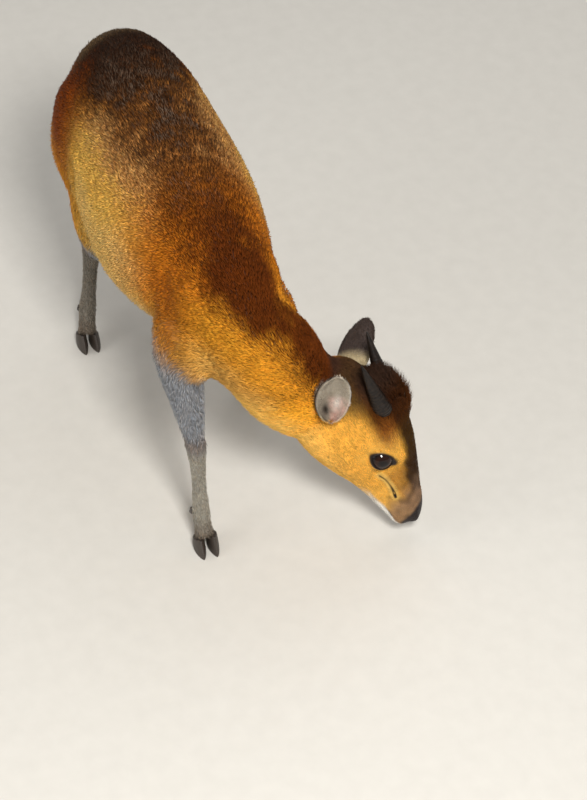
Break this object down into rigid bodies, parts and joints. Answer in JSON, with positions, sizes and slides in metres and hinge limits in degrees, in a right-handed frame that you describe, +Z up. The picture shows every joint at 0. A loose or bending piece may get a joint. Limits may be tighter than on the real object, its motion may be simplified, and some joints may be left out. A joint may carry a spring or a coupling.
{
  "type": "red-flanked duiker",
  "caption": "Still, life-size model of a red-flanked duiker that stands with its head lowered and turned to its left, as when it grazes.",
  "frame": {"origin": "middle of the footprint's box, at floor level", "axes": "+X the way the trunk points, from tail to shoulder; +Y the animal's left; +Z up"},
  "size_m": [0.433, 0.2218, 0.3534],
  "materials": {
    "coat": "short glossy fur, orange with a dark grizzled back and grey legs",
    "horn": "black keratin, ringed at the base, worn smooth at the tip",
    "hoof": "dark keratin, satin",
    "eye": "very dark brown, wet gloss"
  },
  "bodies": {
    "root": {"dewclaw_fore_left_inner": "hoof", "dewclaw_fore_left_outer": "hoof", "dewclaw_fore_right_inner": "hoof", "dewclaw_fore_right_outer": "hoof", "dewclaw_hind_left_inner": "hoof", "dewclaw_hind_left_outer": "hoof", "dewclaw_hind_right_inner": "hoof", "dewclaw_hind_right_outer": "hoof", "ear_left": "coat", "ear_right": "coat", "eye_left": "eye", "eye_right": "eye", "foreleg_left_lower": "coat", "foreleg_left_upper": "coat", "foreleg_right_lower": "coat", "foreleg_right_upper": "coat", "head": "coat", "hindleg_left_lower": "coat", "hindleg_left_upper": "coat", "hindleg_right_lower": "coat", "hindleg_right_upper": "coat", "hoof_fore_left_inner": "hoof", "hoof_fore_left_outer": "hoof", "hoof_fore_right_inner": "hoof", "hoof_fore_right_outer": "hoof", "hoof_hind_left_inner": "hoof", "hoof_hind_left_outer": "hoof", "hoof_hind_right_inner": "hoof", "hoof_hind_right_outer": "hoof", "horn_left": "horn", "horn_right": "horn", "neck": "coat", "tail": "coat", "trunk": "coat"}
  },
  "joints": []
}
